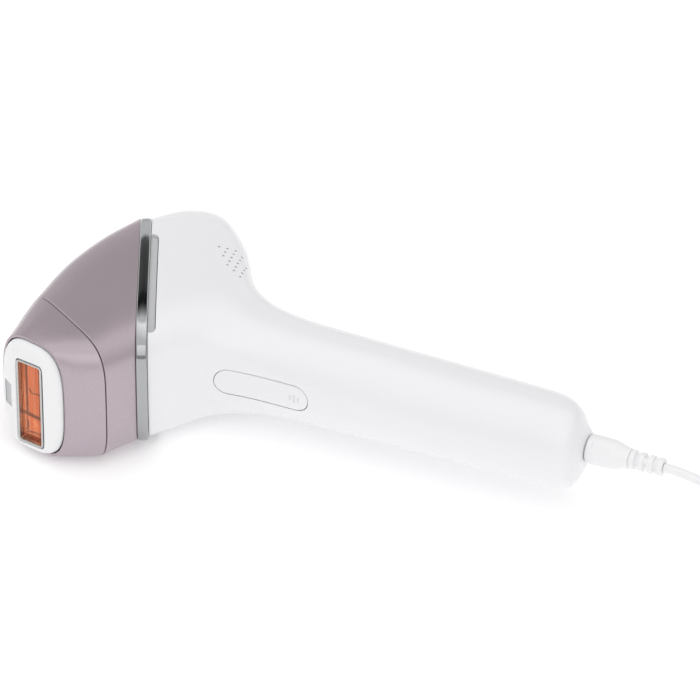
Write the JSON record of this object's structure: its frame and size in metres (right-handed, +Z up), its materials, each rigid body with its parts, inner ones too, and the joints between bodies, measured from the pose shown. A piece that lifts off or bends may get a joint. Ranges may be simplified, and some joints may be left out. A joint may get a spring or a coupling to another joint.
{
  "type": "ipl hair remover",
  "caption": "Handheld pulsed-light hair remover: angled head with an orange filter window and pull-off nose, round handle, thumb-side flash button and plug-in low-voltage lead.",
  "frame": {"origin": "middle of the device's base as it lies on its side, without its lead and adapter", "axes": "+X along the handle to the lead, +Y to the device's back, +Z up, across the device"},
  "size_m": [0.3633, 0.1823, 0.0526],
  "materials": {
    "white_shell": "gloss",
    "chrome": "polished",
    "mauve_shell": "pearl",
    "grey_grille": "matte",
    "dark_plastic": "matte",
    "inner_plastic": "matte",
    "circuit_board": "satin",
    "coil_tape": "satin",
    "capacitor_sleeve": "gloss",
    "copper_winding": "satin",
    "heat_sink_metal": "satin",
    "mirror_metal": "polished",
    "quartz": "clear",
    "contact_metal": "satin",
    "white_button": "satin",
    "grey_button": "satin",
    "light_guide": "clear",
    "wire_red": "satin",
    "screw_steel": "satin",
    "window_metal": "satin",
    "orange_glass": "clear",
    "rubber_pad": "matte",
    "white_bezel": "satin",
    "sensor_grey": "satin",
    "lead_white": "satin",
    "adapter_white": "satin"
  },
  "bodies": {
    "housing": {"front_housing": "white_shell", "back_cover": "white_shell", "chrome_band": "chrome", "hood": "mauve_shell", "intake_grilles": "grey_grille", "exhaust_screens": "dark_plastic", "inner_frame": "inner_plastic", "main_board": "circuit_board", "main_board_chips": "dark_plastic", "power_board": "circuit_board", "power_board_parts": "coil_tape", "control_board": "circuit_board", "flash_capacitor": "capacitor_sleeve", "trigger_coil": "copper_winding", "heat_sink": "heat_sink_metal", "reflector": "mirror_metal", "flash_tube": "quartz", "tube_caps": "contact_metal", "lamp_holders": "inner_plastic", "front_bulkhead": "inner_plastic", "filter_pane": "quartz", "fan_frame": "dark_plastic", "fan_motor": "copper_winding", "flash_switch": "dark_plastic", "back_switches": "dark_plastic", "button_guide": "inner_plastic", "indicator_lights": "light_guide", "dc_socket": "dark_plastic", "socket_pin": "contact_metal", "wiring": "wire_red", "housing_screws": "screw_steel", "contact_block": "dark_plastic"},
    "attachment": {"attachment_shell": "mauve_shell", "attachment_frame": "inner_plastic", "light_tunnel": "mirror_metal", "window_frame": "window_metal", "window_glass": "orange_glass", "pressure_pads": "rubber_pad"},
    "bezel": {"contact_bezel": "white_bezel", "sensor_window": "sensor_grey"},
    "flash_key": {"flash_button": "white_button"},
    "power_key": {"power_button": "grey_button"},
    "skin_key": {"skin_button": "grey_button"},
    "fan": {"fan_rotor": "dark_plastic"},
    "plug": {"plug_body": "lead_white", "plug_barrel": "contact_metal", "plug_relief": "lead_white", "lead": "lead_white", "lead_coil": "lead_white", "coil_tie": "rubber_pad", "adapter_relief": "adapter_white", "adapter_body": "adapter_white", "adapter_face": "adapter_white", "mains_pins": "contact_metal"}
  },
  "joints": [
    {"name": "attachment_pull", "type": "slide", "parent": "housing", "child": "attachment", "axis": [-0.5764, -0.8171, 0], "range_m": [0, 0.025]},
    {"name": "bezel_press", "type": "slide", "parent": "attachment", "child": "bezel", "axis": [0.1736, 0.9848, 0], "range_m": [0, 0.0012], "stiffness_N_per_m": 600, "springref_m": -0.001},
    {"name": "flash_press", "type": "slide", "parent": "housing", "child": "flash_key", "axis": [0, 1, 0], "range_m": [0, 0.0014], "stiffness_N_per_m": 500, "springref_m": -0.001},
    {"name": "power_press", "type": "slide", "parent": "housing", "child": "power_key", "axis": [0, -1, 0], "range_m": [0, 0.0008], "stiffness_N_per_m": 500, "springref_m": -0.001},
    {"name": "skin_press", "type": "slide", "parent": "housing", "child": "skin_key", "axis": [0, -1, 0], "range_m": [0, 0.0008], "stiffness_N_per_m": 500, "springref_m": -0.001},
    {"name": "fan_spin", "type": "hinge", "parent": "housing", "child": "fan", "pos_m": [-0.07695, 0.01648, 0.0263], "axis": [-0.1736, -0.9848, 0], "continuous": true},
    {"name": "plug_pull", "type": "slide", "parent": "housing", "child": "plug", "axis": [1, 0, 0], "range_m": [0, 0.013]}
  ]
}
